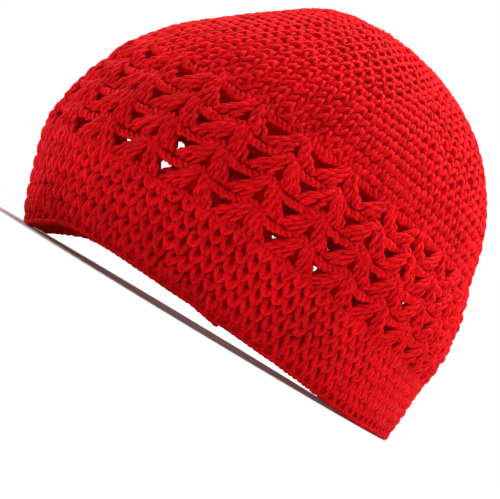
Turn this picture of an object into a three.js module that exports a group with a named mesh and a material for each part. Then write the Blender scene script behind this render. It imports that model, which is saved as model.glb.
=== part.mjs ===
// Crocheted kufi cap of red cotton yarn, standing on its rim.
// Millimetres, +Z up. The floor is z = 0, the front of the cap looks to -X and the
// side with the join of the rounds looks to -Y.

import * as THREE from "three";

// Overall sizes, measured on the outside
const capLength = 204.7;
const capWidth = 172;
const capHeight = 156;
const rimLength = 185.4;
const rimWidth = 152;
// The middle of the rim lies this far behind the middle of the cap
const rimShift = 5.6;

// Height of the lower edge of the openwork above the floor
const footFront = 42;
const footSide = 41.5;
const footBack = 28.5;

// Height of the upper edge of the openwork above the floor
const headFront = 94.5;
const headSide = 87;
const headBack = 77;

// Crocheted wall, and the gap kept between neighbouring pieces
const wall = 3;
const fitGap = 0.3;

// Rolled edge round along the rim
const edgingDepth = 4;
const edgingThickness = 4.2;
const edgingFlat = 2.6;

// The sides of the rim arch off the floor, between the front and the back that touch it
const rimArch = 8.8;

// One end of the edge round hangs lower where the round closes
const joinDrop = 1.3;
const joinRunOut = 14;
const joinStep = 1.5;
const joinTurn = THREE.MathUtils.degToRad(272);

// Shell pattern: repeats round the cap, rows of shells, and the open gap between two shells.
// The gap's middle is a share of its row's height, and the phase a share of one repeat.
const repeats = 28;
const shellRows = 4;
const gapHeight = 5.8;
const gapWidthFront = 9.4;
const gapWidthBack = 5.4;
const gapMiddle = 0.36;
const repeatPhase = 0.89;
const frontStretch = 0.22;

// Fineness of the faceted walls
const segments = 2 * repeats;
const bandRings = 4;
const crownRings = 11;

// Stations run up the cap: 0 rim, 1 openwork foot, 2 openwork head, 3 middle of the crown
const footStation = 1;
const headStation = 2;
const topStation = 3;

// Head band: widening is the share of the way from the rim's outline to that of the foot
const bandSections = [
  { station: 0.0, widening: 0.0 },
  { station: 0.25, widening: 0.36 },
  { station: 0.5, widening: 0.6 },
  { station: 0.75, widening: 0.83 },
];

// Openwork and crown: front and back are shares of half the cap's length and side of half its
// width. The ups are shares of the way up from the openwork head to the top of the cap.
const openworkSections = [
  { station: 1.0, front: 0.998, back: 0.982, side: 0.988 },
  { station: 1.25, front: 0.995, back: 1.0, side: 0.998 },
  { station: 1.5, front: 0.969, back: 0.991, side: 1.0 },
  { station: 1.75, front: 0.921, back: 0.972, side: 0.978 },
  { station: 2.0, front: 0.862, back: 0.94, side: 0.932 },
];
const crownSections = [
  { station: 2.14, front: 0.762, back: 0.901, side: 0.885, upFront: 0.212, upBack: 0.222, upSide: 0.204 },
  { station: 2.28, front: 0.64, back: 0.832, side: 0.81, upFront: 0.392, upBack: 0.43, upSide: 0.398 },
  { station: 2.43, front: 0.503, back: 0.72, side: 0.7, upFront: 0.577, upBack: 0.627, upSide: 0.585 },
  { station: 2.57, front: 0.376, back: 0.588, side: 0.568, upFront: 0.745, upBack: 0.78, upSide: 0.744 },
  { station: 2.72, front: 0.232, back: 0.424, side: 0.4, upFront: 0.91, upBack: 0.892, upSide: 0.878 },
  { station: 2.86, front: 0.078, back: 0.255, side: 0.215, upFront: 0.972, upBack: 0.961, upSide: 0.962 },
  { station: 3.0, front: -0.078, back: 0.078, side: 0.0, upFront: 1.0, upBack: 1.0, upSide: 1.0 },
];

// Arch of the rim: turn from the back in degrees, rise as a share of rimArch
const rimSections = [
  { turn: 0, rise: 0 },
  { turn: 40, rise: 0 },
  { turn: 52, rise: 0.12 },
  { turn: 70, rise: 0.42 },
  { turn: 95, rise: 0.74 },
  { turn: 118, rise: 0.96 },
  { turn: 132, rise: 1 },
  { turn: 142, rise: 0.86 },
  { turn: 152, rise: 0.4 },
  { turn: 162, rise: 0 },
  { turn: 180, rise: 0 },
];

// Outline of one gap seen from outside, as shares of its width and height
const gapOutline = [
  { across: 0.5, up: 0.5 },
  { across: -0.5, up: 0.22 },
  { across: -0.44, up: -0.26 },
  { across: -0.12, up: -0.5 },
  { across: 0.16, up: -0.24 },
];

// Section of the edge round: across as a share of half its thickness, up as a share of its depth
const edgingOutline = [
  { across: edgingFlat / edgingThickness, up: 0 },
  { across: 1, up: 0.3 },
  { across: 1, up: 0.7 },
  { across: wall / edgingThickness, up: 1 },
  { across: -wall / edgingThickness, up: 1 },
  { across: -1, up: 0.7 },
  { across: -1, up: 0.3 },
  { across: -edgingFlat / edgingThickness, up: 0 },
];

const { lerp } = THREE.MathUtils;
const halfLength = capLength / 2;
const halfWidth = capWidth / 2;

// Reaches and heights of every section in one smooth run up the cap
function sectionRun() {
  const stations = [];
  const values = [];
  const add = (station, reaches, heights) => {
    stations.push(station);
    values.push(reaches.front, reaches.back, reaches.side, heights.front, heights.back, heights.side);
  };
  const reachesOf = (row) => ({
    front: row.front * halfLength,
    back: row.back * halfLength,
    side: row.side * halfWidth,
  });
  const rim = { front: rimLength / 2 - rimShift, back: rimLength / 2 + rimShift, side: rimWidth / 2 };
  const foot = reachesOf(openworkSections[0]);
  for (const row of bandSections) {
    const reaches = {
      front: lerp(rim.front, foot.front, row.widening),
      back: lerp(rim.back, foot.back, row.widening),
      side: lerp(rim.side, foot.side, row.widening),
    };
    add(row.station, reaches, {
      front: footFront * row.station,
      back: footBack * row.station,
      side: footSide * row.station,
    });
  }
  for (const row of openworkSections) {
    const share = row.station - footStation;
    add(row.station, reachesOf(row), {
      front: lerp(footFront, headFront, share),
      back: lerp(footBack, headBack, share),
      side: lerp(footSide, headSide, share),
    });
  }
  for (const row of crownSections) {
    add(row.station, reachesOf(row), {
      front: lerp(headFront, capHeight, row.upFront),
      back: lerp(headBack, capHeight, row.upBack),
      side: lerp(headSide, capHeight, row.upSide),
    });
  }
  return new THREE.CubicInterpolant(stations, values, 6, new Float32Array(6));
}
const sections = sectionRun();

const rimRun = new THREE.LinearInterpolant(
  rimSections.map((row) => row.turn),
  rimSections.map((row) => row.rise),
  1,
  new Float32Array(1),
);

// How far the underside of the rim stands off the floor at a turn, alike on both sides
function rimRise(turn) {
  const fromBack = Math.acos(Math.cos(turn)) * THREE.MathUtils.RAD2DEG;
  return rimArch * rimRun.evaluate(fromBack)[0];
}

// Drop of the edge round on the front side of its join
function joinSag(turn) {
  const before = (joinTurn - turn) * halfLength;
  if (before < 0 || before > joinRunOut) {
    return 0;
  }
  return joinDrop * (1 - before / joinRunOut);
}

// Point on the outside of the cap
function outside(turn, station) {
  const [front, back, side, zFront, zBack, zSide] = sections.evaluate(station);
  const x = (back - front) / 2 + ((back + front) / 2) * Math.cos(turn);
  const y = side * Math.sin(turn);
  const mean = (zFront + zBack + 2 * zSide) / 4;
  const slope = (zBack - zFront) / 2;
  const saddle = (zFront + zBack - 2 * zSide) / 4;
  const level = mean + slope * Math.cos(turn) + saddle * Math.cos(2 * turn);
  const lift = rimRise(turn) * Math.max(0, 1 - station / footStation);
  return new THREE.Vector3(x, y, level + lift);
}

// Direction in which the wall thickens: level at the rim, square to the cloth above it
function outward(turn, station) {
  const step = 0.004;
  const level = Math.min(station, topStation - 2 * step);
  const along = outside(turn + step, level).sub(outside(turn - step, level));
  const up = outside(turn, level + step).sub(outside(turn, Math.max(0, level - step)));
  const square = along.clone().cross(up).normalize();
  const flat = new THREE.Vector3(square.x, square.y, 0).normalize();
  const share = THREE.MathUtils.smoothstep(station, 0.1, footStation);
  return flat.lerp(square, share).normalize();
}

function inside(turn, station) {
  return outside(turn, station).addScaledVector(outward(turn, station), -wall);
}

// Turn of a place in the pattern: the loops are stretched at the front and close at the back
function patternTurn(place) {
  const even = ((place + repeatPhase) / repeats) * 2 * Math.PI;
  return even - frontStretch * Math.sin(even);
}
const segmentTurn = (index) => patternTurn((index % segments) * (repeats / segments));

// Length of the cloth between two stations at a turn
function clothLength(turn, low, high) {
  return outside(turn, low).distanceTo(outside(turn, high));
}

// Collects the corners and triangles of one closed solid
class Solid {
  constructor() {
    this.corners = [];
    this.faces = [];
  }
  corner(point) {
    this.corners.push(point.x, point.y, point.z);
    return this.corners.length / 3 - 1;
  }
  quad(a, b, c, d) {
    this.faces.push(a, b, c, a, c, d);
  }
  triangle(a, b, c) {
    this.faces.push(a, b, c);
  }
  // Strip between two rings, facing out where the ring runs to the right and high lies above low
  strip(low, high) {
    for (let i = 0; i < low.length; i += 1) {
      const next = (i + 1) % low.length;
      this.quad(low[i], low[next], high[next], high[i]);
    }
  }
  mesh(name, colour) {
    const geometry = new THREE.BufferGeometry();
    geometry.setAttribute("position", new THREE.Float32BufferAttribute(this.corners, 3));
    geometry.setIndex(this.faces);
    geometry.computeVertexNormals();
    const material = new THREE.MeshStandardMaterial({ color: colour, roughness: 0.9, metalness: 0 });
    const mesh = new THREE.Mesh(geometry, material);
    mesh.name = name;
    return mesh;
  }
}

// Ring of corners at the stations that stationOf gives for each turn
function ring(solid, surface, stationOf) {
  const indices = [];
  for (let i = 0; i < segments; i += 1) {
    const turn = segmentTurn(i);
    indices.push(solid.corner(surface(turn, stationOf(turn))));
  }
  return indices;
}

// Crown: dense rounds of single crochet, from the middle out to the openwork
function crown() {
  const solid = new Solid();
  const lowest = (turn) => headStation + fitGap / clothLength(turn, headStation, topStation);
  const stationOf = (share) => (turn) => lerp(lowest(turn), topStation, share);
  const skins = [];
  for (const surface of [outside, inside]) {
    const rings = [];
    for (let k = 0; k < crownRings; k += 1) {
      rings.push(ring(solid, surface, stationOf(k / crownRings)));
    }
    skins.push(rings);
  }
  const [outer, inner] = skins;
  const top = outside(0, topStation);
  const outerTop = solid.corner(top);
  const innerTop = solid.corner(top.clone().add(new THREE.Vector3(0, 0, -wall)));
  for (let k = 0; k + 1 < crownRings; k += 1) {
    solid.strip(outer[k], outer[k + 1]);
    solid.strip(inner[k + 1], inner[k]);
  }
  for (let i = 0; i < segments; i += 1) {
    const next = (i + 1) % segments;
    solid.triangle(outer[crownRings - 1][i], outer[crownRings - 1][next], outerTop);
    solid.triangle(inner[crownRings - 1][next], inner[crownRings - 1][i], innerTop);
  }
  solid.strip(inner[0], outer[0]);
  return solid.mesh("crown", 0xc81018);
}

// Station of a height inside the openwork, given as rows up from its lower edge
function openworkStation(turn, rows) {
  const margin = fitGap / clothLength(turn, footStation, headStation);
  const share = rows / shellRows;
  return lerp(footStation, headStation - margin, share);
}

// Openwork: rows of shells, with a slanted gap between each shell and the next
function openworkBand() {
  const solid = new Solid();
  const rings = { outer: [], inner: [] };
  for (let row = 0; row <= shellRows; row += 1) {
    const stationOf = (turn) => openworkStation(turn, row);
    rings.outer.push(ring(solid, outside, stationOf));
    rings.inner.push(ring(solid, inside, stationOf));
  }
  for (let row = 0; row < shellRows; row += 1) {
    for (let column = 0; column < repeats; column += 1) {
      addShellGap(solid, rings, row, column);
    }
  }
  solid.strip(rings.inner[0], rings.outer[0]);
  solid.strip(rings.outer[shellRows], rings.inner[shellRows]);
  return solid.mesh("openwork_band", 0xc00d16);
}

// One cell of the openwork, from the middle of one shell to the middle of the next
function addShellGap(solid, rings, row, column) {
  const left = 2 * column;
  const edge = [left, left + 1, (left + 2) % segments];
  const leftTurn = segmentTurn(left);
  const middleTurn = segmentTurn(left + 1);
  const rightTurn = patternTurn(column + 1);
  const rowFoot = openworkStation(middleTurn, row);
  const rowHead = openworkStation(middleTurn, row + 1);
  const rowHeight = clothLength(middleTurn, rowFoot, rowHead);
  const middle = outside(middleTurn, openworkStation(middleTurn, row + gapMiddle));
  const leftWidth = middle.distanceTo(outside(leftTurn, openworkStation(leftTurn, row + gapMiddle)));
  const rightWidth = middle.distanceTo(outside(rightTurn, openworkStation(rightTurn, row + gapMiddle)));
  const backShare = (1 + Math.cos(middleTurn)) / 2;
  const gapWidth = lerp(gapWidthFront, gapWidthBack, backShare);
  const below = gapMiddle * rowHeight;
  const above = (1 - gapMiddle) * rowHeight;
  const contour = [
    new THREE.Vector2(-leftWidth, -below),
    new THREE.Vector2(0, -below),
    new THREE.Vector2(rightWidth, -below),
    new THREE.Vector2(rightWidth, above),
    new THREE.Vector2(0, above),
    new THREE.Vector2(-leftWidth, above),
  ];
  const hole = gapOutline.map((point) => new THREE.Vector2(point.across * gapWidth, point.up * gapHeight));
  const triangles = THREE.ShapeUtils.triangulateShape(contour, [hole]);
  const corners = {};
  for (const [side, surface] of [["outer", outside], ["inner", inside]]) {
    const low = edge.map((i) => rings[side][row][i]);
    const high = edge.map((i) => rings[side][row + 1][i]).reverse();
    const around = hole.map((point) => {
      const toLeft = (middleTurn - leftTurn) / leftWidth;
      const toRight = (rightTurn - middleTurn) / rightWidth;
      const turn = middleTurn + point.x * (point.x < 0 ? toLeft : toRight);
      return solid.corner(surface(turn, openworkStation(turn, row + gapMiddle + point.y / rowHeight)));
    });
    corners[side] = [...low, ...high, ...around];
  }
  for (const [a, b, c] of triangles) {
    solid.triangle(corners.outer[a], corners.outer[b], corners.outer[c]);
    solid.triangle(corners.inner[a], corners.inner[c], corners.inner[b]);
  }
  const first = contour.length;
  for (let k = 0; k < hole.length; k += 1) {
    const a = first + k;
    const b = first + ((k + 1) % hole.length);
    solid.quad(corners.outer[a], corners.outer[b], corners.inner[b], corners.inner[a]);
  }
}

// Head band: plain rounds of single crochet below the openwork
function headBand() {
  const solid = new Solid();
  const lowest = (turn) => (edgingDepth + fitGap) / (outside(turn, footStation).z - rimRise(turn));
  const highest = (turn) => footStation - fitGap / clothLength(turn, 0, footStation);
  const stationOf = (share) => (turn) => lerp(lowest(turn), highest(turn), share);
  const outer = [];
  const inner = [];
  for (let k = 0; k <= bandRings; k += 1) {
    outer.push(ring(solid, outside, stationOf(k / bandRings)));
    inner.push(ring(solid, inside, stationOf(k / bandRings)));
  }
  for (let k = 0; k < bandRings; k += 1) {
    solid.strip(outer[k], outer[k + 1]);
    solid.strip(inner[k + 1], inner[k]);
  }
  solid.strip(inner[0], outer[0]);
  solid.strip(outer[bandRings], inner[bandRings]);
  return solid.mesh("head_band", 0xb80c16);
}

// Edge round: a rolled round that closes on itself at the join, flat below where it rests
function rimEdging() {
  const solid = new Solid();
  const turns = [];
  for (let i = 0; i < segments; i += 1) {
    turns.push(segmentTurn(i));
  }
  turns.push(joinTurn, joinTurn + joinStep / halfLength);
  turns.sort((a, b) => a - b);
  const lines = edgingOutline.map((point) => turns.map((turn) => {
    const height = outside(turn, footStation).z - rimRise(turn);
    const station = (point.up * edgingDepth) / height;
    const out = outward(turn, 0);
    const place = outside(turn, station).addScaledVector(out, -wall / 2);
    place.addScaledVector(out, (point.across * edgingThickness) / 2);
    place.z = rimRise(turn) + point.up * edgingDepth - joinSag(turn) * (1 - point.up);
    return solid.corner(place);
  }));
  for (let k = 0; k < lines.length; k += 1) {
    solid.strip(lines[k], lines[(k + 1) % lines.length]);
  }
  return solid.mesh("rim_edging", 0xd4141c);
}

const cap = new THREE.Group();
cap.add(crown(), openworkBand(), headBand(), rimEdging());

export default cap;
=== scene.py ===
import math
import random

import bpy
from mathutils import Matrix, Vector


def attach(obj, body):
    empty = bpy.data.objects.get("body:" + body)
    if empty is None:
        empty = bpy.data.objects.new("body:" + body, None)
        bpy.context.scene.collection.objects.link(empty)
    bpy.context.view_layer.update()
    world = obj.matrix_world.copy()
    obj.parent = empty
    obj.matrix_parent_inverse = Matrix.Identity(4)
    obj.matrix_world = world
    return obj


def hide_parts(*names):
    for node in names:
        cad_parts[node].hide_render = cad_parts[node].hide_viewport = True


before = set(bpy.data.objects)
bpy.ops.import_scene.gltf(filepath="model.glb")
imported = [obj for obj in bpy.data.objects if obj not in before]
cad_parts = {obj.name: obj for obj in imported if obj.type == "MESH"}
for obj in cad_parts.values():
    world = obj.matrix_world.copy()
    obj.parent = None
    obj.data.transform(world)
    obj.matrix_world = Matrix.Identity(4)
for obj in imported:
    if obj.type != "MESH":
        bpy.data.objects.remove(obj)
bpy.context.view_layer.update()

# Crown
# The closed dome of the cap, worked in rounds of single crochet from the middle of the
# top out to the openwork. Each stitch shows as a V of cotton yarn with its point down, and
# a loop of the same yarn fills the mouth of the V.

mm = 0.001
cap_length = 204.7 * mm
cap_width = 172 * mm
cap_height = 156 * mm
rim_length = 185.4 * mm
rim_width = 152 * mm
rim_shift = 5.6 * mm
foot_front, foot_side, foot_back = 42 * mm, 41.5 * mm, 28.5 * mm
head_front, head_side, head_back = 94.5 * mm, 87 * mm, 77 * mm
rim_arch = 8.8 * mm
repeats = 28
repeat_phase = 0.89
front_stretch = 0.22
full_turn = 2 * math.pi

# Stations run up the cap from 0 at the rim, and the zones of stitch meet at whole stations
openwork_foot = 1
openwork_head = 2
crown_middle = 3

# Station, widening from the rim's outline to that of the openwork foot
band_sections = [(0.0, 0.0), (0.25, 0.36), (0.5, 0.6), (0.75, 0.83)]

# Station, then front, back and side reach as shares of half the length and half the width
openwork_sections = [
    (1.0, 0.998, 0.982, 0.988),
    (1.25, 0.995, 1.0, 0.998),
    (1.5, 0.969, 0.991, 1.0),
    (1.75, 0.921, 0.972, 0.978),
    (2.0, 0.862, 0.94, 0.932),
]

# The same, then front, back and side rise as shares of the way from the openwork head to the top
crown_sections = [
    (2.14, 0.762, 0.901, 0.885, 0.212, 0.222, 0.204),
    (2.28, 0.64, 0.832, 0.81, 0.392, 0.43, 0.398),
    (2.43, 0.503, 0.72, 0.7, 0.577, 0.627, 0.585),
    (2.57, 0.376, 0.588, 0.568, 0.745, 0.78, 0.744),
    (2.72, 0.232, 0.424, 0.4, 0.91, 0.892, 0.878),
    (2.86, 0.078, 0.255, 0.215, 0.972, 0.961, 0.962),
    (3.0, -0.078, 0.078, 0.0, 1.0, 1.0, 1.0),
]

# Arch of the rim: turn from the back in degrees, rise as a share of rim_arch
rim_sections = [
    (0, 0), (40, 0), (52, 0.12), (70, 0.42), (95, 0.74), (118, 0.96),
    (132, 1), (142, 0.86), (152, 0.4), (162, 0), (180, 0),
]


def between(low, high, share):
    return low + (high - low) * share


def smooth_step(value, low, high):
    share = min(1.0, max(0.0, (value - low) / (high - low)))
    return share * share * (3 - 2 * share)


def in_table(rows, place):
    """Straight run through rows of (place, value)."""
    for (p0, v0), (p1, v1) in zip(rows, rows[1:]):
        if place <= p1:
            return between(v0, v1, (place - p0) / (p1 - p0))
    return rows[-1][1]


def cap_rows():
    """Station, reaches and heights of every section, from the rim to the top."""
    reach = (cap_length / 2, cap_length / 2, cap_width / 2)
    rim = (rim_length / 2 - rim_shift, rim_length / 2 + rim_shift, rim_width / 2)
    foot = [share * full for share, full in zip(openwork_sections[0][1:], reach)]
    foot_z = (foot_front, foot_back, foot_side)
    head_z = (head_front, head_back, head_side)
    rows = []
    for station, widening in band_sections:
        rows.append([station] + [between(r, f, widening) for r, f in zip(rim, foot)]
                    + [z * station for z in foot_z])
    for station, *shares in openwork_sections:
        rows.append([station] + [s * r for s, r in zip(shares, reach)]
                    + [between(f, h, station - openwork_foot) for f, h in zip(foot_z, head_z)])
    for station, *shares in crown_sections:
        rows.append([station] + [s * r for s, r in zip(shares, reach)]
                    + [between(h, cap_height, s) for h, s in zip(head_z, shares[3:])])
    return rows


def smooth_run(rows, place):
    """Cubic run through the rows, with no curvature at its two ends."""
    i = 1
    while i < len(rows) - 1 and rows[i][0] < place:
        i += 1
    before, after = rows[i - 1], rows[i]
    low, high = before[0], after[0]
    previous = rows[i - 2] if i > 1 else after
    following = rows[i + 1] if i + 1 < len(rows) else before
    low_bend = 0.5 * (high - low) / (low - previous[0])
    high_bend = 0.5 * (high - low) / (following[0] - high)
    share = (place - low) / (high - low)
    weights = (
        -low_bend * share ** 3 + 2 * low_bend * share ** 2 - low_bend * share,
        (1 + low_bend) * share ** 3 + (-1.5 - 2 * low_bend) * share ** 2 + (-0.5 + low_bend) * share + 1,
        (-1 - high_bend) * share ** 3 + (1.5 + high_bend) * share ** 2 + 0.5 * share,
        high_bend * share ** 3 - high_bend * share ** 2,
    )
    return [
        sum(weight * row[k] for weight, row in zip(weights, (previous, before, after, following)))
        for k in range(1, 7)]


profile_steps = 240
sections = cap_rows()
profile = [smooth_run(sections, k / profile_steps) for k in range(crown_middle * profile_steps + 1)]


def rim_rise(turn):
    """How far the underside of the rim stands off the floor, alike on both sides."""
    from_back = math.degrees(math.acos(max(-1.0, min(1.0, math.cos(turn)))))
    return rim_arch * in_table(rim_sections, from_back)


def outside(turn, station):
    """Point on the outside of the cap. Turn 0 is the back, and it runs to the right seen from outside."""
    place = min(max(station, 0.0), crown_middle) * profile_steps
    k = min(int(place), crown_middle * profile_steps - 1)
    share = place - k
    front, back, side, z_front, z_back, z_side = [
        between(u, v, share) for u, v in zip(profile[k], profile[k + 1])]
    x = (back - front) / 2 + (back + front) / 2 * math.cos(turn)
    y = side * math.sin(turn)
    mean = (z_front + z_back + 2 * z_side) / 4
    slope = (z_back - z_front) / 2
    saddle = (z_front + z_back - 2 * z_side) / 4
    lift = rim_rise(turn) * (openwork_foot - station) if station < openwork_foot else 0.0
    return Vector((x, y, mean + slope * math.cos(turn) + saddle * math.cos(2 * turn) + lift))


slope_step = 0.006
level_station = 0.1


def outward(turn, station):
    """Direction in which the wall thickens: level at the rim, square to the cloth from the openwork up."""
    here = min(max(station, slope_step), crown_middle - 2 * slope_step)
    along = outside(turn + slope_step, here) - outside(turn - slope_step, here)
    up = outside(turn, here + slope_step) - outside(turn, here - slope_step)
    square = along.cross(up).normalized()
    flat = Vector((square.x, square.y, 0)).normalized()
    return flat.lerp(square, smooth_step(station, level_station, openwork_foot)).normalized()


def on_cloth(turn, station, out=0.0):
    """Point that stands out from the outside of the cap by a length, or into it where that is negative."""
    return outside(turn, station) + outward(turn, station) * out


def pattern_turn(share):
    """Turn of a share of the way round: the loops are stretched at the front and close at the back."""
    even = share * full_turn
    return even - front_stretch * math.sin(even)


# The rounds of the crown. The width of a stitch grows a little up to pitch_station, and the
# stitches follow the stretch of the openwork up to stretch_station. Leans are in stitches.
crown_rounds = 26
first_stitches = 6
pitch_low = 4.75 * mm
pitch_high = 4.9 * mm
pitch_station = 2.4
stretch_station = 2.3
stitches_round = 4 * repeats
column_lean = 0.46
stitch_lean = 0.15
doubled_start = 0.37
easing_passes = 10
ring_samples = 120
out_wobble = 2 * mm


class Round:
    """One round of stitches: its station, and the share of the way round of each stitch."""

    def __init__(self, station, height, places):
        self.station = station
        self.height = height
        self.places = places
        lengths = [0.0]
        points = [outside(full_turn * k / ring_samples, station) for k in range(ring_samples + 1)]
        for p, q in zip(points, points[1:]):
            lengths.append(lengths[-1] + (q - p).length)
        self.girth = lengths[-1]
        self.even = [
            (length / self.girth, full_turn * k / ring_samples) for k, length in enumerate(lengths)]
        self.pattern_share = 1 - smooth_step(station, openwork_head, stretch_station)

    def turn(self, share):
        whole = math.floor(share)
        even = in_table(self.even, share - whole) + whole * full_turn
        return between(even, pattern_turn(share), self.pattern_share)

    def edge(self, j, across):
        """Share of the way round at a place across stitch j, from -0.5 to 0.5 and a little past."""
        n = len(self.places)
        here = self.places[j]
        if across < 0:
            other = self.places[j - 1] - (1 if j == 0 else 0)
            return here + across * (here - other)
        other = self.places[(j + 1) % n] + (1 if j == n - 1 else 0)
        return here + across * (other - here)

    def point(self, share, rises, out):
        """Point at a share of the way round. The rises add up to a share of the round's height."""
        return on_cloth(self.turn(share), self.station + sum(rises) * self.height, out)


def widened(places, count):
    """The next round out: one stitch on each stitch, two on some, then eased along the round."""
    n = len(places)
    extra = count - n
    doubled = {int((m + doubled_start) * n / extra) for m in range(extra)} if extra > 0 else set()
    grown = []
    for j, place in enumerate(places):
        following = places[(j + 1) % n] + (1 if j == n - 1 else 0)
        grown.append(place)
        if j in doubled:
            grown.append((place + following) / 2)
    for _ in range(easing_passes):
        n = len(grown)
        grown = [
            (grown[j - 1] - (1 if j == 0 else 0) + 2 * grown[j]
             + grown[(j + 1) % n] + (1 if j == n - 1 else 0)) / 4
            for j in range(n)]
    return [place - column_lean / len(grown) for place in grown]


def make_crown_rounds():
    """Rounds from the middle of the crown out, each worked on the stitches of the one before."""
    rounds = []
    places = [k / first_stitches for k in range(first_stitches)]
    for k in range(crown_rounds - 1, -1, -1):
        station = openwork_head + (k + 0.5) / crown_rounds
        made = Round(station, 1 / crown_rounds, places)
        pitch = between(pitch_low, pitch_high, smooth_step(station, openwork_head, pitch_station))
        count = min(stitches_round, max(len(places), round(made.girth / pitch)))
        if k == 0:
            count = stitches_round
        made.places = widened(places, count) if rounds else places
        places = made.places
        rounds.append(made)
    return rounds


# Path of the V of one stitch: across as a share of the pitch, up as a share of the round's
# height, out from the cloth in millimetres, and thickness
v_path = [
    (-0.26, 0.62, -1.70, 0.80),
    (-0.34, 0.42, -0.50, 1.00),
    (-0.35, 0.20, 0.00, 1.10),
    (-0.28, -0.05, 0.10, 1.10),
    (-0.18, -0.30, -0.05, 1.00),
    (0.00, -0.50, -0.60, 0.90),
    (0.18, -0.30, -0.05, 1.00),
    (0.28, -0.05, 0.10, 1.10),
    (0.35, 0.20, 0.00, 1.10),
    (0.34, 0.42, -0.50, 1.00),
    (0.26, 0.62, -1.70, 0.80),
]

# The loop of the next stitch that fills the mouth of the V
tongue_path = [
    (0.0, 0.6, -1.9, 0.8),
    (0.0, 0.3, -0.65, 1.0),
    (0.0, 0.02, -0.75, 0.95),
    (0.0, -0.2, -1.9, 0.7),
]
yarn_radius = 0.92 * mm


def stitch_paths(made, path, wobble, seed):
    """Yarn paths of one round: lists of (point, thickness, tone)."""
    dice = random.Random(seed)
    paths = []
    for j in range(len(made.places)):
        shift, lift, out, tilt = (dice.gauss(0, wobble) for _ in range(4))
        tone = dice.uniform(-1, 1)
        points = []
        for across, up, depth, thick in path:
            share = made.edge(j, across + shift + stitch_lean * up + tilt * up)
            point = made.point(share, (up, lift, tilt * across), depth * mm + out * out_wobble)
            points.append((point, thick, tone))
        paths.append(points)
    return paths


def node_maker(tree):
    """Function that adds a node to a tree, sets or wires its inputs and sets its choices."""
    def add(kind, inputs=(), **choices):
        node = tree.nodes.new(kind)
        for name, value in choices.items():
            setattr(node, name, value)
        for name, value in dict(inputs).items():
            if isinstance(value, bpy.types.NodeSocket):
                tree.links.new(value, node.inputs[name])
            else:
                node.inputs[name].default_value = value
        return node
    return add


# The shapes of the yarn come from one tree: each path gets a round section, thicker and
# thinner along its way, and keeps its length along and its way round for the twist. The yarn
# wanders in waves, counted in each metre.
wander_waves = 260


def make_yarn_tree():
    """Tree that turns paths into yarns."""
    tree = bpy.data.node_groups.new("yarn_along_paths", "GeometryNodeTree")
    for name, kind in (
        ("Paths", "Geometry"), ("Yarn radius", "Float"), ("Sides", "Int"),
        ("Wander", "Float"), ("Seed", "Float"), ("Yarn", "Material"),
    ):
        tree.interface.new_socket(name, in_out="INPUT", socket_type="NodeSocket" + kind)
    tree.interface.new_socket("Yarns", in_out="OUTPUT", socket_type="NodeSocketGeometry")
    add = node_maker(tree)
    given = add("NodeGroupInput").outputs
    curve = add("GeometryNodeMeshToCurve", {"Mesh": given["Paths"]})
    noise = add("ShaderNodeTexNoise", {"Scale": wander_waves, "Detail": 1, "W": given["Seed"]},
                noise_dimensions="4D")
    centred = add("ShaderNodeVectorMath", {0: noise.outputs["Color"], 1: (0.5, 0.5, 0.5)},
                  operation="SUBTRACT")
    offset = add("ShaderNodeVectorMath", {0: centred.outputs["Vector"], "Scale": given["Wander"]},
                 operation="SCALE")
    moved = add("GeometryNodeSetPosition",
                {"Geometry": curve.outputs["Curve"], "Offset": offset.outputs["Vector"]})
    way = add("GeometryNodeSplineParameter")
    along = add("GeometryNodeStoreNamedAttribute",
                {"Geometry": moved.outputs["Geometry"], "Name": "along", "Value": way.outputs["Length"]},
                data_type="FLOAT", domain="POINT")
    circle = add("GeometryNodeCurvePrimitiveCircle", {"Radius": 1, "Resolution": given["Sides"]})
    here = add("GeometryNodeInputPosition")
    around = add("GeometryNodeStoreNamedAttribute",
                 {"Geometry": circle.outputs["Curve"], "Name": "around", "Value": here.outputs["Position"]},
                 data_type="FLOAT_VECTOR", domain="POINT")
    thick = add("GeometryNodeInputNamedAttribute", {"Name": "thick"}, data_type="FLOAT")
    radius = add("ShaderNodeMath", {0: thick.outputs["Attribute"], 1: given["Yarn radius"]},
                 operation="MULTIPLY")
    tube = add("GeometryNodeCurveToMesh", {
        "Curve": along.outputs["Geometry"],
        "Profile Curve": around.outputs["Geometry"],
        "Scale": radius.outputs["Value"],
        "Fill Caps": True,
    })
    smooth = add("GeometryNodeSetShadeSmooth", {"Geometry": tube.outputs["Mesh"]})
    plain = add("GeometryNodeRealizeInstances", {"Geometry": smooth.outputs["Geometry"]})
    painted = add("GeometryNodeSetMaterial",
                  {"Geometry": plain.outputs["Geometry"], "Material": given["Yarn"]})
    add("NodeGroupOutput", {"Yarns": painted.outputs["Geometry"]})
    return tree


yarn_tree = make_yarn_tree()


def finish_piece(piece, node):
    """Put a piece on the cap's one body, in place of the CAD node that it stands for."""
    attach(piece, "root")
    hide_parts(node)
    return piece


def shape_by_tree(name, mesh, tree, given):
    """Piece that a tree makes from a mesh and the named inputs, finished as a plain mesh."""
    piece = bpy.data.objects.new(name, mesh)
    bpy.context.scene.collection.objects.link(piece)
    modifier = piece.modifiers.new("shape", "NODES")
    modifier.node_group = tree
    for item in tree.interface.items_tree:
        if item.in_out == "INPUT" and item.name in given:
            modifier[item.identifier] = given[item.name]
    shaped = piece.evaluated_get(bpy.context.evaluated_depsgraph_get())
    finished = bpy.data.meshes.new_from_object(shaped)
    piece.modifiers.clear()
    piece.data = finished
    return piece


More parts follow.
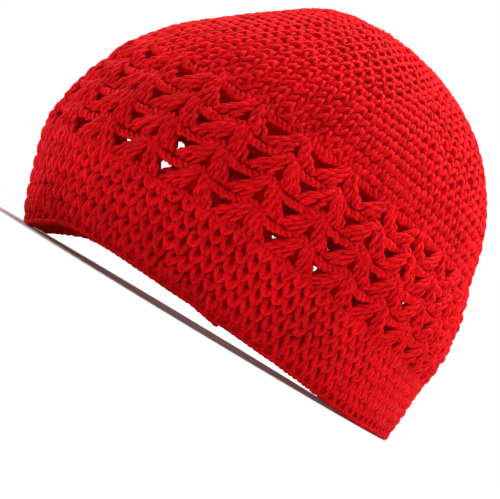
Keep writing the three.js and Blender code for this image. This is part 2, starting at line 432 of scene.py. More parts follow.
def make_yarn(name, node, paths, radius, sides, seed, wander=0.0, closed=False):
    """A piece made of yarns along paths."""
    points, edges, thick, tone = [], [], [], []
    for path in paths:
        first = len(points)
        points.extend(p for p, _, _ in path)
        thick.extend(t for _, t, _ in path)
        tone.extend(c for _, _, c in path)
        edges.extend((k, k + 1) for k in range(first, len(points) - 1))
        if closed:
            edges.append((len(points) - 1, first))
    mesh = bpy.data.meshes.new(name + "_paths")
    mesh.from_pydata(points, edges, [])
    mesh.attributes.new("thick", "FLOAT", "POINT").data.foreach_set("value", thick)
    mesh.attributes.new("tone", "FLOAT", "POINT").data.foreach_set("value", tone)
    given = {"Yarn radius": radius, "Sides": sides, "Wander": wander, "Seed": float(seed), "Yarn": red_yarn}
    piece = shape_by_tree(name, mesh, yarn_tree, given)
    piece.data.name = name
    return finish_piece(piece, node)


# Spun cotton: plies twisted round each other, with short fibres standing off, and dye that
# is a little uneven from stitch to stitch. Where the relief is low, in the grooves between plies
# and fibres, the dye is darkened towards a second colour: painted shade. Waves are counted in
# each metre, and the weights say how much each of them adds to the height of the relief or to
# the light of the dye.
fibre_waves = 2600
clump_waves = 950
swell_waves = 330
patch_waves = 38
ply_sharpness = 0.55
ply_height, fibre_height, clump_height = 0.35, 0.25, 0.75
patch_dye, swell_dye, clump_dye, stitch_dye = 1.5, 1.6, 3.6, 0.4
# Share of the plain dye where the relief is lowest, and how fast it grows with the relief's height; the
# rest is painted shade
unshaded_share_per_height, unshaded_share_in_groove = 0.75, 0.35
least_roughness, fibre_roughness = 0.68, 0.25
relief_depth = 0.6 * mm


def make_cotton_group():
    """Shader group that gives the colour, with painted shade in the yarn's grooves, and the roughness and
    normal of the yarn.
    """
    group = bpy.data.node_groups.new("spun_cotton", "ShaderNodeTree")
    face = group.interface
    for name, kind, value in (
        ("Dye", "NodeSocketColor", (0.8, 0.003, 0.008, 1)),
        ("Groove dye", "NodeSocketColor", (0.55, 0.001, 0.003, 1)),
        ("Plies", "NodeSocketFloat", 4.0),
        ("Twist length", "NodeSocketFloat", 5 * mm),
        ("Unevenness", "NodeSocketFloat", 0.2),
        ("Relief", "NodeSocketFloat", 0.7),
    ):
        face.new_socket(name, in_out="INPUT", socket_type=kind).default_value = value
    face.new_socket("Color", in_out="OUTPUT", socket_type="NodeSocketColor")
    face.new_socket("Roughness", in_out="OUTPUT", socket_type="NodeSocketFloat")
    face.new_socket("Normal", in_out="OUTPUT", socket_type="NodeSocketVector")
    add = node_maker(group)
    given = add("NodeGroupInput").outputs
    places = add("ShaderNodeTexCoord")

    def maths(operation, *values):
        """Output of one sum, of numbers or of other outputs."""
        return add("ShaderNodeMath", enumerate(values), operation=operation).outputs["Value"]

    def weighed(value, weight, middle=0):
        return maths("MULTIPLY", maths("SUBTRACT", value, middle) if middle else value, weight)

    def attribute(name, output):
        return add("ShaderNodeAttribute", attribute_name=name).outputs[output]

    def noise(waves, detail):
        inputs = {"Scale": waves, "Detail": detail, "Vector": places.outputs["Object"]}
        return add("ShaderNodeTexNoise", inputs).outputs["Fac"]

    parts = add("ShaderNodeSeparateXYZ", {"Vector": attribute("around", "Vector")})
    angle = maths("ARCTAN2", parts.outputs["Y"], parts.outputs["X"])
    turns = maths("MULTIPLY", attribute("along", "Fac"), full_turn)
    twist = maths("DIVIDE", turns, given["Twist length"])
    phase = maths("MULTIPLY", maths("ADD", angle, twist), maths("MULTIPLY", given["Plies"], 0.5))
    ridge = maths("POWER", maths("ABSOLUTE", maths("SINE", phase)), ply_sharpness)
    fibres = noise(fibre_waves, 3)
    clumps = noise(clump_waves, 3)
    swells = noise(swell_waves, 1)
    patches = noise(patch_waves, 2)
    height = maths("ADD", weighed(ridge, ply_height),
                   maths("ADD", weighed(fibres, fibre_height), weighed(clumps, clump_height)))
    blotches = maths("ADD", weighed(patches, patch_dye, 0.5), weighed(swells, swell_dye, 0.5))
    tones = maths("ADD", weighed(clumps, clump_dye, 0.5), weighed(attribute("tone", "Fac"), stitch_dye))
    uneven = maths("ADD", blotches, tones)
    bright = maths("ADD", maths("MULTIPLY", uneven, given["Unevenness"]), 1)
    # Painted shade: the colour darkens towards the second colour where the relief is low
    share = maths("MINIMUM", maths("ADD", weighed(height, unshaded_share_per_height), unshaded_share_in_groove), 1)
    dye = add("ShaderNodeMix", {"Factor": share, "A": given["Groove dye"], "B": given["Dye"]},
              data_type="RGBA")
    scaled = add("ShaderNodeVectorMath", {0: dye.outputs["Result"], "Scale": bright}, operation="SCALE")
    bump = add("ShaderNodeBump", {"Distance": relief_depth, "Height": height, "Strength": given["Relief"]})
    add("NodeGroupOutput", {
        "Color": scaled.outputs["Vector"],
        "Roughness": maths("ADD", weighed(fibres, fibre_roughness), least_roughness),
        "Normal": bump.outputs["Normal"],
    })
    return group


cotton_group = make_cotton_group()


def make_cotton(name, dye, painted_groove_shade, unevenness, relief, gloss, sheen, plies=4.0, twist=5 * mm):
    """A material of spun cotton with its own dye, painted shade for its grooves, and twist."""
    material = bpy.data.materials.new(name)
    material.use_nodes = True
    shader = material.node_tree.nodes["Principled BSDF"]
    cotton = node_maker(material.node_tree)("ShaderNodeGroup", {
        "Dye": (*dye, 1),
        "Groove dye": (*painted_groove_shade, 1),
        "Plies": plies,
        "Twist length": twist,
        "Unevenness": unevenness,
        "Relief": relief,
    }, node_tree=cotton_group)
    for output, socket in (("Color", "Base Color"), ("Roughness", "Roughness"), ("Normal", "Normal")):
        material.node_tree.links.new(cotton.outputs[output], shader.inputs[socket])
    shader.inputs["Specular IOR Level"].default_value = gloss
    shader.inputs["Sheen Weight"].default_value = sheen
    shader.inputs["Sheen Roughness"].default_value = 0.45
    shader.inputs["Sheen Tint"].default_value = (1.0, 0.35, 0.35, 1)
    return material


# The second colour of each yarn is the painted shade in its grooves
red_yarn = make_cotton("red_yarn", (0.80, 0.003, 0.008), (0.55, 0.001, 0.003),
                       unevenness=0.26, relief=0.6, gloss=0.08, sheen=0.03)

# The same yarn where it lies deep in the cloth and gets little light, with its dye darkened: painted shade
painted_shade_yarn = make_cotton("painted_shade_yarn", (0.4, 0.0, 0.001), (0.3, 0.0, 0.0),
                         unevenness=0.2, relief=0.7, gloss=0.0, sheen=0.0)

split_station = 2.4
crown_wobble = 0.065
crown_wander = 0.35 * mm
crown = make_crown_rounds()
upper = [made for made in crown if made.station > split_station]
lower = [made for made in crown if made.station <= split_station]
for name, rounds, seed in (("crown_stitches_upper", upper, 11), ("crown_stitches_lower", lower, 12)):
    paths, tongues = [], []
    for k, made in enumerate(rounds):
        paths += stitch_paths(made, v_path, crown_wobble, seed * 100 + k)
        tongues += stitch_paths(made, tongue_path, crown_wobble, seed * 100 + k)
    make_yarn(name, "crown", paths, yarn_radius, sides=5, wander=crown_wander, seed=seed)
    make_yarn(name + "_tongues", "crown", tongues, yarn_radius, sides=4, wander=crown_wander, seed=seed)

# Back of each stitch, seen inside the cap: a bar along the round and a slanted leg
bar_path = [(-0.5, 0.10, -2.75, 0.8), (-0.17, 0.0, -3.2, 0.9), (0.17, -0.02, -3.2, 0.9)]
leg_path = [
    (-0.30, -0.42, -2.6, 0.8),
    (-0.12, -0.16, -3.0, 0.9),
    (0.08, 0.16, -3.1, 0.9),
    (0.24, 0.42, -2.6, 0.8),
]
back_radius = 0.8 * mm
bar_wobble, leg_wobble = 0.02, 0.03


def bar_ring(made, wobble, seed):
    """The bars of one round, joined into one closed path."""
    return [point for path in stitch_paths(made, bar_path, wobble, seed) for point in path]


crown_bars = [bar_ring(made, bar_wobble, 1500 + k) for k, made in enumerate(crown)]
crown_legs = []
for k, made in enumerate(crown):
    crown_legs += stitch_paths(made, leg_path, leg_wobble, 1550 + k)
make_yarn("crown_back_bars", "crown", crown_bars, back_radius, sides=4, closed=True, seed=15)
make_yarn("crown_back_legs", "crown", crown_legs, back_radius, sides=4, seed=16)

# Ground of the cloth: the yarn deep between the front and the back of the stitches
ground_columns = 4 * repeats
ground_front = -0.75 * mm
ground_back = -2.45 * mm


def finish_mesh(name, node, corners, faces, material):
    """A piece made of corners and faces."""
    mesh = bpy.data.meshes.new(name)
    mesh.from_pydata(corners, [], faces)
    mesh.polygons.foreach_set("use_smooth", [True] * len(mesh.polygons))
    mesh.materials.append(material)
    piece = bpy.data.objects.new(name, mesh)
    bpy.context.scene.collection.objects.link(piece)
    return finish_piece(piece, node)


def make_ground(name, node, low, high, steps, material, front_depth=ground_front, topped=False):
    """Thin closed wall between two stations, with a closed top where it reaches the middle."""
    corners, faces, skins = [], [], []
    for depth in (front_depth, ground_back):
        rings = []
        for k in range(steps + (0 if topped else 1)):
            station = between(low, high, k / steps)
            ring = []
            for i in range(ground_columns):
                ring.append(len(corners))
                corners.append(on_cloth(pattern_turn(i / ground_columns), station, depth))
            rings.append(ring)
        skins.append(rings)
    front, back = skins
    n = ground_columns

    def strip(a, b):
        faces.extend((a[i], a[(i + 1) % n], b[(i + 1) % n], b[i]) for i in range(n))

    for k in range(len(front) - 1):
        strip(front[k], front[k + 1])
        strip(back[k + 1], back[k])
    strip(back[0], front[0])
    if topped:
        middle = outside(0, crown_middle)
        for rings, depth, flip in ((front, front_depth, False), (back, ground_back, True)):
            top = len(corners)
            corners.append(middle + Vector((0, 0, depth)))
            last = rings[-1]
            for i in range(n):
                pair = (last[(i + 1) % n], last[i]) if flip else (last[i], last[(i + 1) % n])
                faces.append((*pair, top))
    else:
        strip(front[-1], back[-1])
    return finish_mesh(name, node, corners, faces, material)


make_ground("crown_ground", "crown", openwork_head, crown_middle, steps=24, material=red_yarn, topped=True)

# Openwork band
# Four rows of shells below the crown, in the same cotton yarn. A shell is eight tall stitches
# that start from one loop and fan down, with a slanted gap between it and the next shell. A
# round of chain loops closes each row.

shell_rows = 4

# The eight tall stitches of a shell: across at the top and at the foot as shares of the repeat,
# and out in millimetres
shell_stitches = [
    (-0.13, -0.52, -0.25),
    (-0.10, -0.40, 0.0),
    (-0.07, -0.28, 0.1),
    (-0.035, -0.16, -0.05),
    (0.03, 0.09, -0.05),
    (0.065, 0.19, 0.1),
    (0.10, 0.30, 0.0),
    (0.13, 0.41, -0.25),
]

# At the back of the cap, where the cloth isn't stretched, a shell's feet stand wider apart.
# The two limits are shares of the way from the front to the back.
back_spread = 0.08
spread_begins, spread_full = 0.08, 0.55

# Run of a tall stitch: up as a share of the row, share of the way from top to foot across, out
# in millimetres, and spread of its strands
stitch_run = [
    (1.05, 0.0, -1.9, 0.7),
    (0.90, 0.04, -0.1, 0.9),
    (0.74, 0.15, 0.0, 1.0),
    (0.54, 0.38, 0.0, 1.0),
    (0.36, 0.63, 0.0, 1.1),
    (0.16, 0.86, -0.1, 1.1),
    (-0.05, 1.0, -1.0, 1.0),
]
strand_radius = 0.78 * mm
strand_spread = 0.74
strand_turn = 9.5 * mm
strand_steps = 11

# Height of a row in millimetres, and how far shells and stitches stray from their even places
row_rise = 12.5
shell_sway, shell_drop = 0.012, 0.015
stitch_shift = 0.016
stitch_swell, swell_wobble = -0.15, 0.3

# Line of the chain loops that close a row: across from one shell's middle to the next, up as
# a share of the row
loop_line = [
    (0.0, 0.02),
    (0.14, -0.10),
    (0.3, -0.27),
    (0.5, -0.28),
    (0.73, -0.19),
    (0.88, -0.04),
    (1.0, 0.02),
]

# Which row each rope of loops closes, counted from the foot, and how much of the line it keeps
loop_rows = [(0, 0.6), (1, 1), (2, 1), (3, 1), (4, 0.5)]
loops_repeat = 5
loop_steps = 6
loop_radius = 1.0 * mm

# Half height and half depth of a loop, and out of their middle, in millimetres
loop_height = 1.15
loop_depth = 0.5
loop_out = -0.75
thin_loop, thick_loop = 0.75, 1.25


def shell_point(column, across, rows, out):
    """Point on the openwork: columns and across from a shell's middle, rows up from the foot."""
    turn = pattern_turn((column + across + repeat_phase) / repeats)
    return on_cloth(turn, openwork_foot + rows / shell_rows, out)


def repeat_width(column, rows):
    """Distance from the middle of one gap to the next, across a shell."""
    before, middle, after = (shell_point(column, across, rows, 0) for across in (-0.5, 0, 0.5))
    return (after - middle).length + (before - middle).length


def nearness_to_back(column):
    """0 at the front of the cap and 1 at the back."""
    return (1 + math.cos(pattern_turn((column + repeat_phase) / repeats))) / 2


def stitch_place(share):
    """Up, share across, out and spread at a share of the way down a tall stitch."""
    place = share * (len(stitch_run) - 1)
    i = min(int(place), len(stitch_run) - 2)
    return [between(u, v, place - i) for u, v in zip(stitch_run[i], stitch_run[i + 1])]


def tall_stitch_spine(top, foot, rise, width):
    """Middle line of a tall stitch: across, up, out, spread of its strands and length so far."""
    length = 0.0
    spine = []
    for k in range(strand_steps + 1):
        up, share, out, spread = stitch_place(k / strand_steps)
        across = between(top, foot, share)
        if spine:
            aside, below = across - spine[-1][0], up - spine[-1][1]
            length += math.hypot(aside * width, below * row_rise * mm)
        spine.append((across, up, out + rise, spread, length))
    return spine


def shell_paths(seed):
    """Two strands twisted round each other along each tall stitch."""
    dice = random.Random(seed)
    strands = []
    for row in range(shell_rows):
        for column in range(repeats):
            width = repeat_width(column, row + 0.5)
            wider = back_spread * smooth_step(nearness_to_back(column), spread_begins, spread_full)
            sway, drop = dice.gauss(0, shell_sway), dice.gauss(0, shell_drop)
            for top, foot, rise in shell_stitches:
                shift, swell = dice.gauss(0, stitch_shift), dice.gauss(stitch_swell, swell_wobble)
                start = dice.uniform(0, full_turn)
                spine = tall_stitch_spine(top, foot + (wider if foot > 0 else 0.0), rise, width)
                for strand in range(2):
                    tone = dice.uniform(-1, 1)
                    points = []
                    for across, up, out, spread, run in spine:
                        angle = start + full_turn * (run / strand_turn + strand / 2)
                        beside = strand_spread * spread * math.cos(angle) * mm / width
                        lift = (out + swell + strand_spread * spread * math.sin(angle)) * mm
                        place = across + sway + shift + beside
                        points.append((shell_point(column, place, row + up + drop, lift), 1.0, tone))
                    strands.append(points)
    return strands


def loop_rope(rows, flatter, seed):
    """Two yarns round each other along the line of loops, one turn for each loop."""
    rope = []
    dice = random.Random(seed)
    for half in (0, 1):
        ring = []
        for column in range(repeats):
            for loop in range(loops_repeat):
                swell, tone = dice.uniform(thin_loop, thick_loop), dice.uniform(-1, 1)
                for step in range(loop_steps):
                    across = (loop + step / loop_steps) / loops_repeat
                    angle = full_turn * (step / loop_steps + half / 2)
                    up = flatter * in_table(loop_line, across)
                    height = loop_height * swell * math.cos(angle) / row_rise
                    out = loop_out + loop_depth * math.sin(angle)
                    ring.append((shell_point(column, across, rows + up + height, out * mm), swell, tone))
        rope.append(ring)
    return rope


strands = shell_paths(21)
half_way = len(strands) // 2
for name, part, seed in (
    ("shell_stitches_low", strands[:half_way], 21), ("shell_stitches_high", strands[half_way:], 24),
):
    make_yarn(name, "openwork_band", part, strand_radius, sides=5, wander=0.7 * mm, seed=seed)
loop_rings = []
for rows, flatter in loop_rows:
    loop_rings += loop_rope(rows, flatter, 2200 + rows)
make_yarn("shell_loops", "openwork_band", loop_rings, loop_radius, sides=5, wander=1.0 * mm, seed=22,
          closed=True)

# Inside of the shells: the backs of the tall stitches, which hollow where the fronts stand out
inside_radius = 1.1 * mm
inside_out = -3.2
inside_hollow = 0.3
back_strands = []
for row in range(shell_rows):
    for column in range(repeats):
        for top, foot, _ in shell_stitches:
            strand = []
            for up, share, out, _ in stitch_run[1:-1]:
                depth = (inside_out - inside_hollow * out) * mm
                strand.append((shell_point(column, between(top, foot, share), row + up, depth), 1.0, 0.0))
            back_strands.append(strand)
make_yarn("shell_backs", "openwork_band", back_strands, inside_radius, sides=4, wander=0.3 * mm, seed=23)

# Ground of the shells: the yarn deep between the strands, open at each gap, in the darker yarn that paints
# its shade
shell_ground_front = -1.3 * mm
gap_height = 5.8 * mm
gap_middle = 0.36
gap_width_front = 9.4 * mm
gap_width_back = 5.4 * mm

# Outline of a gap from its middle, in gap widths and heights, and of the cell of cloth round it
gap_outline = [
    (0.00, 0.62), (-0.26, 0.60), (-0.50, 0.45), (-0.52, 0.02), (-0.45, -0.26), (-0.34, -0.42),
    (-0.14, -0.52), (0.04, -0.42), (0.16, -0.24), (0.36, 0.08), (0.54, 0.50), (0.28, 0.64),
]
cell_outline = [
    (0.5, 1.0), (0.25, 1.0), (0.0, 1.0), (0.0, 0.5), (0.0, 0.0), (0.25, 0.0),
    (0.5, 0.0), (0.75, 0.0), (1.0, 0.0), (1.0, 0.5), (1.0, 1.0), (0.75, 1.0),
]


def make_shell_ground():
    """Thin wall with a hole in each cell. Neighbouring cells share the corners of their edges."""
    corners, faces, known = [], [], {}
    depths = (shell_ground_front, ground_back)

    def shared(column, row, across, up, side):
        key = (round(4 * (column + across)) % (4 * repeats), round(2 * (row + up)), side)
        if key not in known:
            known[key] = len(corners)
            corners.append(shell_point(column, across, row + up, depths[side]))
        return known[key]

    for row in range(shell_rows):
        for column in range(repeats):
            gap_width = between(gap_width_front, gap_width_back, nearness_to_back(column + 0.5))
            width = gap_width / repeat_width(column, row + 0.5)
            row_height = (shell_point(column, 0.5, row + 1, 0) - shell_point(column, 0.5, row, 0)).length
            height = gap_height / row_height
            rims = []
            for side in (0, 1):
                edge = [shared(column, row, a, u, side) for a, u in cell_outline]
                hole = []
                for across, up in gap_outline:
                    hole.append(len(corners))
                    place = row + gap_middle + up * height
                    corners.append(shell_point(column, 0.5 + across * width, place, depths[side]))
                rims.append((edge, hole))
            n = len(gap_outline)
            for i in range(n):
                j = (i + 1) % n
                (edge, hole), (edge_back, hole_back) = rims
                faces.append((edge[i], edge[j], hole[j], hole[i]))
                faces.append((edge_back[j], edge_back[i], hole_back[i], hole_back[j]))
                faces.append((hole[i], hole[j], hole_back[j], hole_back[i]))
    n = 4 * repeats
    for row, flip in ((0, False), (2 * shell_rows, True)):
        for i in range(n):
            j = (i + 1) % n
            ends = [known[(i, row, 0)], known[(j, row, 0)], known[(j, row, 1)], known[(i, row, 1)]]
            faces.append(tuple(ends if flip else reversed(ends)))
    return finish_mesh("shell_ground", "openwork_band", corners, faces, painted_shade_yarn)


make_shell_ground()

# Head band
# Six plain rounds of single crochet in the same cotton yarn, worked down from the openwork.
# They hold the cap on the head and are a little looser than the crown.

band_round_count = 6
edging_depth = 4 * mm
band_wobble = 0.06
band_back_wobble = 0.03
band_radius = 1.16 * mm
band_tongue_radius = 1.1 * mm
band_wander = 0.4 * mm
band_ground_front = -1.6 * mm
band_ground_foot = 0.1


def station_above_rim(turn, height):
    """Station at a height above the underside of the rim."""
    return height / (outside(turn, openwork_foot).z - rim_rise(turn))


class BandRound(Round):
    """A round of the band. Its station changes round the cap, as the band is lower at the back."""

    def __init__(self, k):
        self.k = k
        lean = column_lean * (band_round_count - k)
        self.places = [(j + 0.5 - lean) / stitches_round for j in range(stitches_round)]

    def point(self, share, rises, out):
        turn = pattern_turn(share)
        rise = sum((self.k + 0.5, *rises)) / band_round_count
        return on_cloth(turn, between(station_above_rim(turn, edging_depth), openwork_foot, rise), out)


# The loop that fills the mouth of the V, which sits lower in the band
low_tongue_path = [
    (0.0, 0.24, -1.9, 0.8),
    (0.0, 0.04, -0.7, 1.0),
    (0.0, -0.18, -0.45, 0.95),
    (0.0, -0.42, -1.7, 0.7),
]
band_yarns, band_tongues, band_bars, band_legs = [], [], [], []
for k in range(band_round_count):
    made = BandRound(k)
    band_yarns += stitch_paths(made, v_path, band_wobble, 3100 + k)
    band_tongues += stitch_paths(made, low_tongue_path, band_wobble, 3100 + k)
    band_bars.append(bar_ring(made, band_back_wobble, 3200 + k))
    band_legs += stitch_paths(made, leg_path, band_back_wobble, 3300 + k)
make_yarn("band_stitches", "head_band", band_yarns, band_radius, sides=5, wander=band_wander, seed=31)
make_yarn("band_tongues", "head_band", band_tongues, band_tongue_radius, sides=4, wander=band_wander,
          seed=34)
make_yarn("band_back_bars", "head_band", band_bars, back_radius, sides=4, seed=32, closed=True)
make_yarn("band_back_legs", "head_band", band_legs, back_radius, sides=4, seed=33)
# The band's ground is in the darker yarn: painted shade deep between the stitches
make_ground("band_ground", "head_band", band_ground_foot, openwork_foot, steps=8, material=painted_shade_yarn,
            front_depth=band_ground_front)

# Rim edging
# The last round of the cotton yarn, rolled over the edge: upright strands run over the rim to
# the inside, and a slim line of loops lies along its foot. Its two ends meet on the near side,
# where the front one hangs a little lower.

join_turn = math.radians(272)
join_drop = 1.3 * mm
join_run_out = 14 * mm


def join_sag(turn):
    """How much lower the edging hangs on the front side of its join."""
    before = (join_turn - turn % full_turn) * cap_length / 2
    if before < 0 or before > join_run_out:
        return 0.0
    return join_drop * (1 - before / join_run_out)


def rim_point(turn, height, out):
    """Point of the edging: height above the underside of the rim, and out from its outside."""
    point = on_cloth(turn, station_above_rim(turn, height), out)
    point.z -= join_sag(turn)
    return point


# Height and out of a strand that runs over the rim, in millimetres
over_path = [
    (6.4, -1.2), (5.2, -0.3), (3.8, 0.2), (2.4, 0.6), (1.4, 0.3),
    (0.95, -1.5), (1.5, -3.0), (3.4, -3.2), (5.0, -2.4),
]

# The two strands of a stitch: their place across it, and how far they lean over their height
edge_strands = [(-0.24, 0.55), (0.2, -0.25)]
strand_foot, strand_height = 1, 6
edge_sway = 0.06
edge_thickness = 0.95
edge_radius = 0.85 * mm

# The loops: height and out of their middle, half height and half depth, in millimetres
edge_loop_height, edge_loop_out = 1.35, 0.45
edge_loop_rise, edge_loop_depth = 0.45, 0.4
edge_loop_steps = 6
edge_loop_radius = 0.75 * mm
edge_yarns, edge_loops = [], []
dice = random.Random(41)
for j in range(stitches_round):
    for side, lean in edge_strands:
        tone, sway = dice.uniform(-1, 1), dice.gauss(0, edge_sway)
        points = []
        for height, out in over_path:
            place = (j + 0.5 + side + sway + lean * (height - strand_foot) / strand_height) / stitches_round
            points.append((rim_point(pattern_turn(place), height * mm, out * mm), edge_thickness, tone))
        edge_yarns.append(points)
for half in (0, 1):
    ring = []
    for j in range(stitches_round):
        tone = dice.uniform(-1, 1)
        for step in range(edge_loop_steps):
            angle = full_turn * (step / edge_loop_steps + half / 2)
            height = (edge_loop_height + edge_loop_rise * math.cos(angle)) * mm
            out = (edge_loop_out + edge_loop_depth * math.sin(angle)) * mm
            turn = pattern_turn((j + step / edge_loop_steps) / stitches_round)
            ring.append((rim_point(turn, height, out), 1.0, tone))
    edge_loops.append(ring)
make_yarn("edging_strands", "rim_edging", edge_yarns, edge_radius, sides=5, wander=0.25 * mm, seed=41)
make_yarn("edging_loops", "rim_edging", edge_loops, edge_loop_radius, sides=5, wander=0.2 * mm, seed=42,
          closed=True)

# Ground of the edging: a closed ring inside the strands
ground_outline = [(1.0, -0.35), (5.4, -0.6), (5.4, -2.6), (1.0, -2.6)]
corners, faces = [], []
for i in range(ground_columns):
    turn = pattern_turn(i / ground_columns)
    corners.extend(rim_point(turn, height * mm, out * mm) for height, out in ground_outline)
sides = len(ground_outline)
for i in range(ground_columns):
    a, b = sides * i, sides * ((i + 1) % ground_columns)
    faces.extend((a + k, b + k, b + (k + 1) % sides, a + (k + 1) % sides) for k in range(sides))
finish_mesh("edging_ground", "rim_edging", corners, faces, red_yarn)

# Fuzz
# Short cotton fibres that stand off the spun yarn all over the outside of the cap. Each is a
# bent slip much finer than a ply, rooted in the yarn at a place of its own.

fibre_width = 0.1 * mm
fibre_reach = 1.5 * mm
fibre_sag = 0.55 * mm
fibre_density = 0.6e5
fibre_lean = 1.2
smallest_fibre, largest_fibre = 0.5, 1.2


def make_fuzz_tree():
    """Tree that sets fibres on yarns, each leaning its own way and of its own size."""
    tree = bpy.data.node_groups.new("fuzz_on_yarn", "GeometryNodeTree")
    for name, kind in (
        ("Yarns", "Geometry"), ("Density", "Float"), ("Width", "Float"), ("Sag", "Float"),
        ("Reach", "Float"), ("Seed", "Int"), ("Fibre", "Material"),
    ):
        tree.interface.new_socket(name, in_out="INPUT", socket_type="NodeSocket" + kind)
    tree.interface.new_socket("Fuzz", in_out="OUTPUT", socket_type="NodeSocketGeometry")
    add = node_maker(tree)
    given = add("NodeGroupInput").outputs
    spots = add("GeometryNodeDistributePointsOnFaces",
                {"Mesh": given["Yarns"], "Density": given["Density"], "Seed": given["Seed"]})
    sizes = add("ShaderNodeCombineXYZ", {"X": given["Width"], "Y": given["Sag"], "Z": given["Reach"]})

    def in_fibre(*shares):
        """Point of a fibre, in shares of its width, sag and reach."""
        node = add("ShaderNodeVectorMath", {0: sizes.outputs["Vector"], 1: shares}, operation="MULTIPLY")
        return node.outputs["Vector"]

    arc = add("GeometryNodeCurveQuadraticBezier", {
        "Resolution": 3,
        "Start": in_fibre(0, 0, -0.1),
        "Middle": in_fibre(0, 0.3, 0.6),
        "End": in_fibre(0, 1, 1),
    })
    slip = add("GeometryNodeCurvePrimitiveLine",
               {"Start": in_fibre(-0.5, 0, 0), "End": in_fibre(0.5, 0, 0)})
    strip = add("GeometryNodeCurveToMesh",
                {"Curve": arc.outputs["Curve"], "Profile Curve": slip.outputs["Curve"]})
    lean = add("FunctionNodeRandomValue", {
        "Min": (-fibre_lean, -fibre_lean, -math.pi),
        "Max": (fibre_lean, fibre_lean, math.pi),
        "Seed": given["Seed"],
    }, data_type="FLOAT_VECTOR")
    turned = add("FunctionNodeRotateRotation",
                 {"Rotation": spots.outputs["Rotation"], "Rotate By": lean.outputs["Value"]},
                 rotation_space="LOCAL")
    size = add("FunctionNodeRandomValue", {2: smallest_fibre, 3: largest_fibre})
    copies = add("GeometryNodeInstanceOnPoints", {
        "Points": spots.outputs["Points"],
        "Instance": strip.outputs["Mesh"],
        "Rotation": turned.outputs["Rotation"],
        "Scale": size.outputs[1],
    })
    plain = add("GeometryNodeRealizeInstances", {"Geometry": copies.outputs["Instances"]})
    painted = add("GeometryNodeSetMaterial",
                  {"Geometry": plain.outputs["Geometry"], "Material": given["Fibre"]})
    add("NodeGroupOutput", {"Fuzz": painted.outputs["Geometry"]})
    return tree


fuzz_tree = make_fuzz_tree()

for name, node in (
    ("crown_stitches_upper", "crown"),
    ("crown_stitches_lower", "crown"),
    ("shell_stitches_low", "openwork_band"),
    ("shell_stitches_high", "openwork_band"),
    ("band_stitches", "head_band"),
):
    given = {
        "Density": fibre_density, "Width": fibre_width, "Sag": fibre_sag, "Reach": fibre_reach,
        "Seed": len(name), "Fibre": red_yarn,
    }
    yarns = bpy.data.objects[name].data.copy()
    finish_piece(shape_by_tree(name + "_fuzz", yarns, fuzz_tree, given), node)

# Floor, light and camera
# The cap rests on a plain pale floor under an even pale sky. Three large soft lights stand above
# it, to its left and to its right.

floor_radius = 1.2
floor_sides = 48
floor_corners = [(0, 0, 0)]
for i in range(floor_sides):
    angle = full_turn * i / floor_sides
    floor_corners.append((floor_radius * math.cos(angle), floor_radius * math.sin(angle), 0))
floor_faces = [(0, 1 + i, 1 + (i + 1) % floor_sides) for i in range(floor_sides)]
floor_mesh = bpy.data.meshes.new("floor")
floor_mesh.from_pydata(floor_corners, [], floor_faces)
floor_mesh.polygons.foreach_set("use_smooth", [True] * len(floor_mesh.polygons))
floor = bpy.data.objects.new("floor", floor_mesh)
bpy.context.scene.collection.objects.link(floor)
floor_paint = bpy.data.materials.new("floor_paint")
floor_paint.use_nodes = True
floor_shader = floor_paint.node_tree.nodes["Principled BSDF"]
floor_shader.inputs["Base Color"].default_value = (0.62, 0.62, 0.62, 1)
floor_shader.inputs["Roughness"].default_value = 0.9
floor_mesh.materials.append(floor_paint)

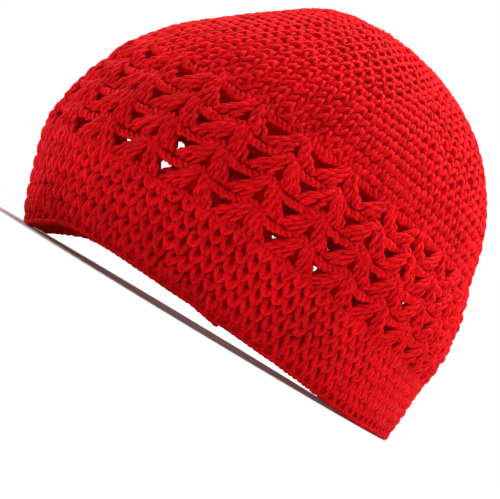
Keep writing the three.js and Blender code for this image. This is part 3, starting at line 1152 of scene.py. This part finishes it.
# The sky is pure white where it is seen, and gives less light than that
sky_light = 0.19
sky_seen = 1.0
world = bpy.data.worlds.new("studio")
world.use_nodes = True
world_nodes, world_link = world.node_tree.nodes, world.node_tree.links.new
backdrop = world_nodes["Background"]
backdrop.inputs["Color"].default_value = (1, 1, 1, 1)
seen = world_nodes.new("ShaderNodeLightPath")
strength = world_nodes.new("ShaderNodeMix")
strength.inputs["A"].default_value = sky_light
strength.inputs["B"].default_value = sky_seen
world_link(seen.outputs["Is Camera Ray"], strength.inputs["Factor"])
world_link(strength.outputs["Result"], backdrop.inputs["Strength"])
bpy.context.scene.world = world

light_aim = Vector((0, 0, 0.08))


def make_light(name, place, size, power):
    """A round soft light that looks at the middle of the cap."""
    light = bpy.data.lights.new(name, "AREA")
    light.shape = "DISK"
    light.size = size
    light.energy = power
    stand = bpy.data.objects.new(name, light)
    stand.location = place
    stand.rotation_mode = "QUATERNION"
    stand.rotation_quaternion = (light_aim - Vector(place)).to_track_quat("-Z", "Y")
    bpy.context.scene.collection.objects.link(stand)


make_light("light_right", (2.2, -0.1, 2.2), size=2.4, power=44)
make_light("light_left", (-2.6, 1.4, 1.3), size=2.2, power=74)
make_light("light_above", (0.5, 0.5, 2.8), size=2.2, power=162)

# A faint round lamp stands in the hollow, so that the inside isn't black behind the gaps
lamp = bpy.data.lights.new("light_inside", "POINT")
lamp.energy = 0.03
lamp.shadow_soft_size = 0.03
lamp_place = bpy.data.objects.new("light_inside", lamp)
lamp_place.location = (0, 0, 0.07)
bpy.context.scene.collection.objects.link(lamp_place)

scene = bpy.context.scene
scene.view_settings.view_transform = "Standard"

# The camera looks along +Y from just above the floor, rolled so that the cap's rim runs
# down to the right
camera_distance = 0.56
camera_height = 0.010
camera_aim = Vector((0.004, 0, 0.042))
camera_roll = math.radians(31.1)
focal_pixels = 1243
image_width = 500
sensor_width = 36
camera_data = bpy.data.cameras.new("camera")
camera_data.sensor_width = sensor_width
camera_data.lens = focal_pixels / image_width * sensor_width
camera_data.clip_start = 0.01
camera_data.clip_end = 50
camera = bpy.data.objects.new("camera", camera_data)
camera.location = (camera_aim.x, -camera_distance, camera_height)
look = (camera_aim - camera.location).normalized()
level = look.cross(Vector((0, 0, 1))).normalized()
upright = level.cross(look)
side_axis = level * math.cos(camera_roll) + upright * math.sin(camera_roll)
up_axis = upright * math.cos(camera_roll) - level * math.sin(camera_roll)
camera.rotation_mode = "QUATERNION"
camera.rotation_quaternion = Matrix((side_axis, up_axis, -look)).transposed().to_quaternion()
bpy.context.scene.collection.objects.link(camera)
scene.camera = camera
